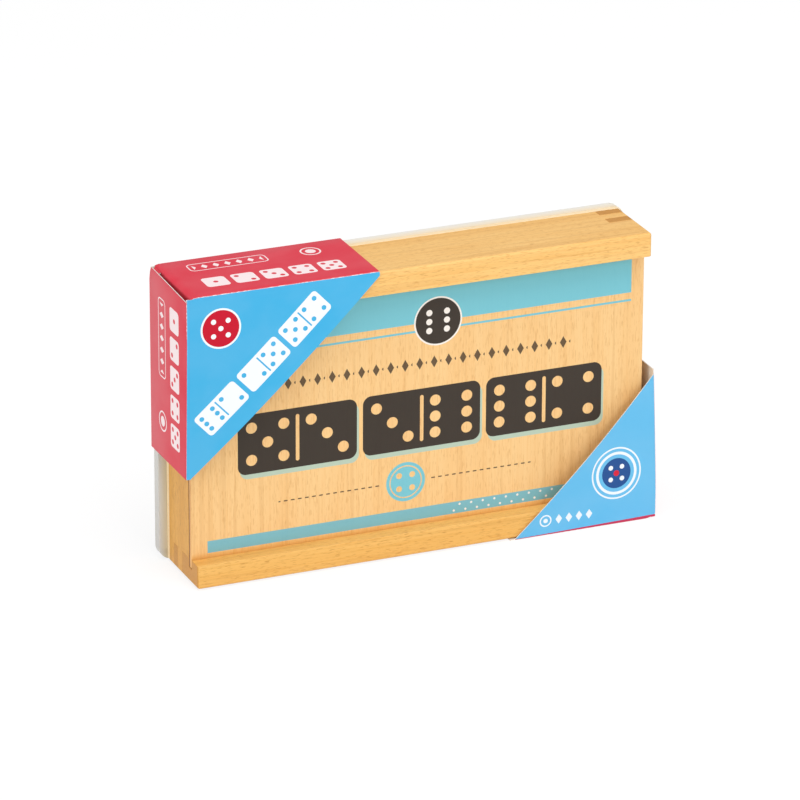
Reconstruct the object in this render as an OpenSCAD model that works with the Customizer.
// Domino storage box: a finger-jointed beech box that stands on its long edge.
// A sliding lid closes its front, a thin moulded tray covers its back, and two
// folded card sleeves hold a pair of opposite corners.  All sizes are in mm.
// +X runs along the box, the lid faces -Y and +Z is up.  The origin is under
// the middle of the whole object, on the surface that it stands on.

/* [Dominoes] */
// Length of one tile
tile_l = 50; // [40:0.5:60]
// Width of one tile
tile_w = 25; // [18:0.5:30]
// Thickness of one tile
tile_t = 8; // [5:0.5:12]
// Corner radius of a tile's outline
tile_corner_r = 2; // [0.5:0.25:4]
// Free space between neighbouring tiles
tile_gap = 0.3; // [0.2:0.05:0.6]
// Radius of a pip
pip_r = 1.7; // [1:0.1:2.2]
// Depth of a pip and of the line across the middle
pip_depth = 0.5; // [0.2:0.1:1]
// Distance between neighbouring pips
pip_pitch = 6; // [5:0.25:7]
// Width of the line across the middle of a tile
middle_line_w = 1.2; // [0.6:0.1:2]

/* [Room around the dominoes] */
// Free length at each end of the rows of tiles
end_room = 0.6; // [0.3:0.1:6]
// Free height over the upper row of tiles
top_room = 5.3; // [2:0.1:20]
// Free depth between the tiles and the plane that the lid slides on
front_room = 5.5; // [2:0.1:20]

/* [Wooden box] */
// Thickness of the top and bottom rails
rail_t = 10.2; // [8:0.1:16]
// Thickness of the end boards
end_t = 11; // [8:0.1:16]
// Thickness of the board on the back
panel_t = 2.6; // [2:0.1:5]
// Depth of the rails' lip in front of the lid
lip_d = 6.9; // [4:0.1:14]
// Width of one finger of the corner joints
finger_w = 4.8; // [3:0.1:6]

/* [Lid] */
// Thickness of the lid
lid_t = 2.8; // [2:0.1:5]
// Running clearance on each face of the lid, and beyond its edges
lid_clear = 0.2; // [0.1:0.05:0.5]
// Depth of the groove in each rail that the lid slides in
groove_depth = 4; // [2.5:0.1:6]

/* [Rear tray] */
// Depth of the tray behind the back board
tray_d = 6; // [5:0.1:16]
// Wall of the tray
tray_wall = 0.8; // [0.6:0.1:1.5]
// How far the tray stands out past each end of the wood
tray_over = 3.4; // [0.5:0.1:5]
// Corner radius of the tray
tray_r = 5; // [3:0.5:12]
// How far the tray's rim is turned in over the back board
tray_rim = 3; // [1:0.5:8]
// Clearance between the tray's rim and the back board
tray_clear = 0.1; // [0.05:0.05:0.3]

/* [Card sleeves] */
// Thickness of the card
card_t = 0.4; // [0.3:0.05:0.8]
// Clearance between a sleeve and what it wraps
card_clear = 0.2; // [0.1:0.05:0.5]
// Leg of the upper sleeve along the top, from the wood's end
upper_leg_x = 79; // [50:1:95]
// Leg of the upper sleeve down the left end, from the wood's top
upper_leg_z = 78; // [50:1:95]
// Leg of the lower sleeve along the bottom, from the wood's end
lower_leg_x = 62.2; // [45:0.2:80]
// Leg of the lower sleeve up the right end, from the wood's underside
lower_leg_z = 64.2; // [45:0.2:80]
// How far the upper sleeve's front bows out at the middle of its long edge
upper_bow = 1.8; // [1:0.1:8]
// How far the lower sleeve's front bows out at the middle of its long edge
lower_bow = 1.8; // [1:0.1:8]
// Width of the blunt tips of a sleeve's front and back
sleeve_tip = 1.8; // [0.5:0.1:4]
// Length of the flap that is tucked in behind a side panel
flap_len = 8; // [4:0.5:20]
// How far a side panel's cut edge lies below the long panel's face
side_drop = 1.2; // [0.5:0.1:4]

/* [Hidden] */
$fn = 48;
// A cut reaches this far past the face that it opens
cut = 1;

// The double-six set lies in two layers of two rows, face to the front
most_pips = 6;
columns = 7;
rows = 2;
layers = 2;
tiles = [for (a = [0 : most_pips]) for (b = [0 : a]) [a, b]];

// Inside of the box, worked out from the tiles and the room around them
inside_len = columns * tile_w + (columns - 1) * tile_gap + 2 * end_room;
inside_h = rows * tile_l + (rows - 1) * tile_gap + top_room;
inside_d = layers * (tile_t + tile_gap) + front_room;

// Outside of the wood
box_len = inside_len + 2 * end_t;
box_h = inside_h + 2 * rail_t;
groove_w = lid_t + 2 * lid_clear;
rail_d = lip_d + groove_w + inside_d;
wood_d = rail_d + panel_t;
lid_reach = groove_depth - 2 * lid_clear;

// Depths are counted from the front of the rails, which lie at y = wood_front
full_d = wood_d + tray_clear + tray_d;
sleeve_front = card_clear + card_t + max(upper_bow, lower_bow);
sleeve_back = full_d + card_clear + card_t;
wood_front = -(sleeve_back - sleeve_front) / 2;
wood_bottom = card_clear + card_t;
wood_top = wood_bottom + box_h;
inner_bottom = wood_bottom + rail_t;
inner_top = inner_bottom + inside_h;
end_front = lip_d + groove_w;

// Fingers of the corner joints, counted from the back of the rails
finger_count = 2;
finger_starts = [for (i = [0 : finger_count - 1]) rail_d - finger_w * (2 * i + 1)];

// How far a sleeve's faces stand off the wood: its side clears the tray
card_top = card_clear + card_t;
side_out = tray_over + card_top;
bow_rings = 8;
bow_steps = 12;

// A box from its low corner to its high corner
module block(low, high) {
    translate(low)
        cube(high - low);
}

// A rectangle with round corners, its low corner at the origin
module rounded_rectangle(w, h, r) {
    translate([r, 0])
        square([w - 2 * r, h]);
    translate([0, r])
        square([w, h - 2 * r]);
    for (x = [r, w - r], y = [r, h - r])
        translate([x, y])
            circle(r);
}

// The notches that the end boards' fingers fill, through a rail or past it
module finger_notches(z_low, z_high) {
    for (side = [-1, 1], start = finger_starts)
        block(
            [side < 0 ? -box_len / 2 - cut : box_len / 2 - end_t, wood_front + start, z_low],
            [side < 0 ? -box_len / 2 + end_t : box_len / 2 + cut, wood_front + start + finger_w, z_high]
        );
}

// A rail from its low face, with the lid's groove between two heights
module rail(z_low, groove_low, groove_high) {
    difference() {
        block([-box_len / 2, wood_front, z_low], [box_len / 2, wood_front + rail_d, z_low + rail_t]);
        block(
            [-box_len / 2 - cut, wood_front + lip_d, groove_low],
            [box_len / 2 + cut, wood_front + lip_d + groove_w, groove_high]
        );
        finger_notches(z_low - cut, z_low + rail_t + cut);
    }
}

module bottom_rail() {
    color("#f3c27c")
        rail(wood_bottom, inner_bottom - groove_depth, inner_bottom + cut);
}

module top_rail() {
    color("#f5c888")
        rail(inner_top, inner_top - cut, inner_top + groove_depth);
}

// An end board stands between the rails, and its fingers pass through them
module end_board(x_low) {
    block([x_low, wood_front + end_front, inner_bottom], [x_low + end_t, wood_front + rail_d, inner_top]);
    for (start = finger_starts)
        block(
            [x_low, wood_front + start, wood_bottom],
            [x_low + end_t, wood_front + start + finger_w, wood_top]
        );
}

module left_end_board() {
    color("#e0a866")
        end_board(-box_len / 2);
}

module right_end_board() {
    color("#e0a866")
        end_board(box_len / 2 - end_t);
}

module back_panel() {
    color("#f5d6a8")
        block(
            [-box_len / 2, wood_front + rail_d, wood_bottom],
            [box_len / 2, wood_front + wood_d, wood_top]
        );
}

module lid() {
    color("#f8c583")
        block(
            [-box_len / 2, wood_front + lip_d + lid_clear, inner_bottom - lid_reach],
            [box_len / 2, wood_front + lip_d + lid_clear + lid_t, inner_top + lid_reach]
        );
}

// An upright slab with round corners, as long as the tray less an inset
module tray_slab(inset, y_low, y_high) {
    corner_r = max(tray_r - inset, tray_wall);
    translate([-box_len / 2 - tray_over + inset, y_high, wood_bottom + inset])
        rotate([90, 0, 0])
            linear_extrude(y_high - y_low)
                rounded_rectangle(
                    box_len + 2 * (tray_over - inset), box_h - 2 * inset, corner_r
                );
}

// A shallow dish with a turned-in rim that bears on the back board
module rear_tray() {
    rim = wood_front + wood_d + tray_clear;
    color("#cbc5bb")
        difference() {
            tray_slab(0, rim, rim + tray_d);
            tray_slab(tray_wall, rim + tray_wall, rim + tray_d - tray_wall);
            tray_slab(tray_over + tray_rim, rim - cut, rim + 2 * tray_wall);
        }
}

// Outline of a sleeve's front from its lower tip round to its outer tip, in a
// plane whose origin is the folded corner: across is +, down is -
function sleeve_edge(across, down) = concat(
    [[0, -down]],
    [for (k = [0 : bow_steps])
        let (share = k / bow_steps)
        [sleeve_tip + (across - sleeve_tip) * share, -down + (down - sleeve_tip) * share]],
    [[across, 0]]
);

// How far a point of the front bows out: nothing along the folds, most at the
// middle of the long edge
function bow_at(p, across, down, bow) =
    let (middle = (1 + sleeve_tip / across) * (1 + sleeve_tip / down) / 4)
    bow * (p[0] / across) * (-p[1] / down) / middle;

// The bowed front as one closed sheet of card
module bowed_front(across, down, bow) {
    edge = sleeve_edge(across, down);
    count = len(edge);
    flat = concat([[0, 0]], [for (ring = [1 : bow_rings]) for (p = edge) p * ring / bow_rings]);
    total = len(flat);
    outer = [for (p = flat) [p[0], -card_top - bow_at(p, across, down, bow), p[1]]];
    inner = [for (p = outer) p + [0, card_t, 0]];
    fan = [for (k = [1 : count - 1]) [k + 1, k, 0]];
    bands = [for (ring = [0 : bow_rings - 2]) for (k = [1 : count - 1])
        let (a = ring * count + k, b = a + count)
        each [[b + 1, b, a], [a + 1, b + 1, a]]];
    sheet = concat(fan, bands);
    back = [for (f = sheet) [f[2] + total, f[1] + total, f[0] + total]];
    last = (bow_rings - 1) * count;
    low_fold = concat([0], [for (ring = [0 : bow_rings - 1]) ring * count + 1]);
    high_fold = concat([0], [for (ring = [0 : bow_rings - 1]) (ring + 1) * count]);
    rim_pairs = concat(
        [for (k = [0 : bow_rings - 1]) [low_fold[k], low_fold[k + 1]]],
        [for (k = [1 : count - 1]) [last + k, last + k + 1]],
        [for (k = [0 : bow_rings - 1]) [high_fold[k + 1], high_fold[k]]]
    );
    rim = [for (pair = rim_pairs)
        each [[pair[1] + total, pair[0] + total, pair[0]], [pair[1], pair[1] + total, pair[0]]]];
    polyhedron(concat(outer, inner), concat(sheet, back, rim));
}

// The flat back of a sleeve, with the front's outline
module flat_back(across, down) {
    translate([0, sleeve_back, 0])
        rotate([90, 0, 0])
            linear_extrude(card_t)
                polygon(concat([[0, 0]], sleeve_edge(across, down)));
}

// A card sleeve round an upper left corner.  The wood's corner is at the
// origin, with the wood towards +X and -Z and its front at y = 0.
module corner_sleeve(leg_x, leg_z, bow) {
    // long panel, over the wood and the tray
    block([-card_top, -card_top, card_clear], [leg_x, sleeve_back, card_top]);
    // tuck flap, bent down beside the wood and short of the tray
    block([-card_top, card_t, -flap_len], [-card_clear, wood_d, card_top]);
    // side panel, outside the flap and the tray
    block([-side_out, -card_top, -leg_z], [card_t - side_out, sleeve_back, card_top - side_drop]);
    translate([-side_out, 0, card_top]) {
        bowed_front(leg_x + side_out, leg_z + card_top, bow);
        flat_back(leg_x + side_out, leg_z + card_top);
    }
}

module upper_corner_sleeve() {
    color("#3fa9e6")
        translate([-box_len / 2, wood_front, wood_top])
            corner_sleeve(upper_leg_x, upper_leg_z, upper_bow);
}

module lower_corner_sleeve() {
    color("#58b4ee")
        translate([box_len / 2, wood_front, wood_bottom])
            rotate([0, 180, 0])
                corner_sleeve(lower_leg_x, lower_leg_z, lower_bow);
}

// Places of the pips on half a tile, in steps of pip_pitch from its middle
function pip_places(count) = concat(
    count % 2 == 1 ? [[0, 0]] : [],
    count >= 2 ? [[-1, 1], [1, -1]] : [],
    count >= 4 ? [[1, 1], [-1, -1]] : [],
    count == 6 ? [[-1, 0], [1, 0]] : []
);

// One tile on its back: its length along Y, its face up at z = tile_t
module tile(a, b) {
    difference() {
        linear_extrude(tile_t)
            rounded_rectangle(tile_w, tile_l, tile_corner_r);
        translate([tile_corner_r, tile_l / 2 - middle_line_w / 2, tile_t - pip_depth])
            cube([tile_w - 2 * tile_corner_r, middle_line_w, pip_depth + cut]);
        for (half = [[a, tile_l * 3 / 4], [b, tile_l / 4]], place = pip_places(half[0]))
            translate([tile_w / 2 + place[0] * pip_pitch, half[1] + place[1] * pip_pitch, tile_t - pip_depth])
                cylinder(h = pip_depth + cut, r = pip_r, $fn = 24);
    }
}

// The tile with this number in the set, stood in its column, row and layer
module stored_tile(index) {
    column = index % columns;
    row = floor(index / columns) % rows;
    layer = floor(index / (columns * rows));
    translate([
        -inside_len / 2 + end_room + column * (tile_w + tile_gap),
        wood_front + rail_d - tile_gap - layer * (tile_t + tile_gap),
        inner_bottom + row * (tile_l + tile_gap)
    ])
        rotate([90, 0, 0])
            tile(tiles[index][0], tiles[index][1]);
}

function tile_node(index) = str("domino_", tiles[index][0], "_", tiles[index][1]);

bottom_rail();
top_rail();
left_end_board();
right_end_board();
back_panel();
lid();
rear_tray();
upper_corner_sleeve();
lower_corner_sleeve();
for (index = [0 : len(tiles) - 1])
    color("#f1ead8") stored_tile(index);
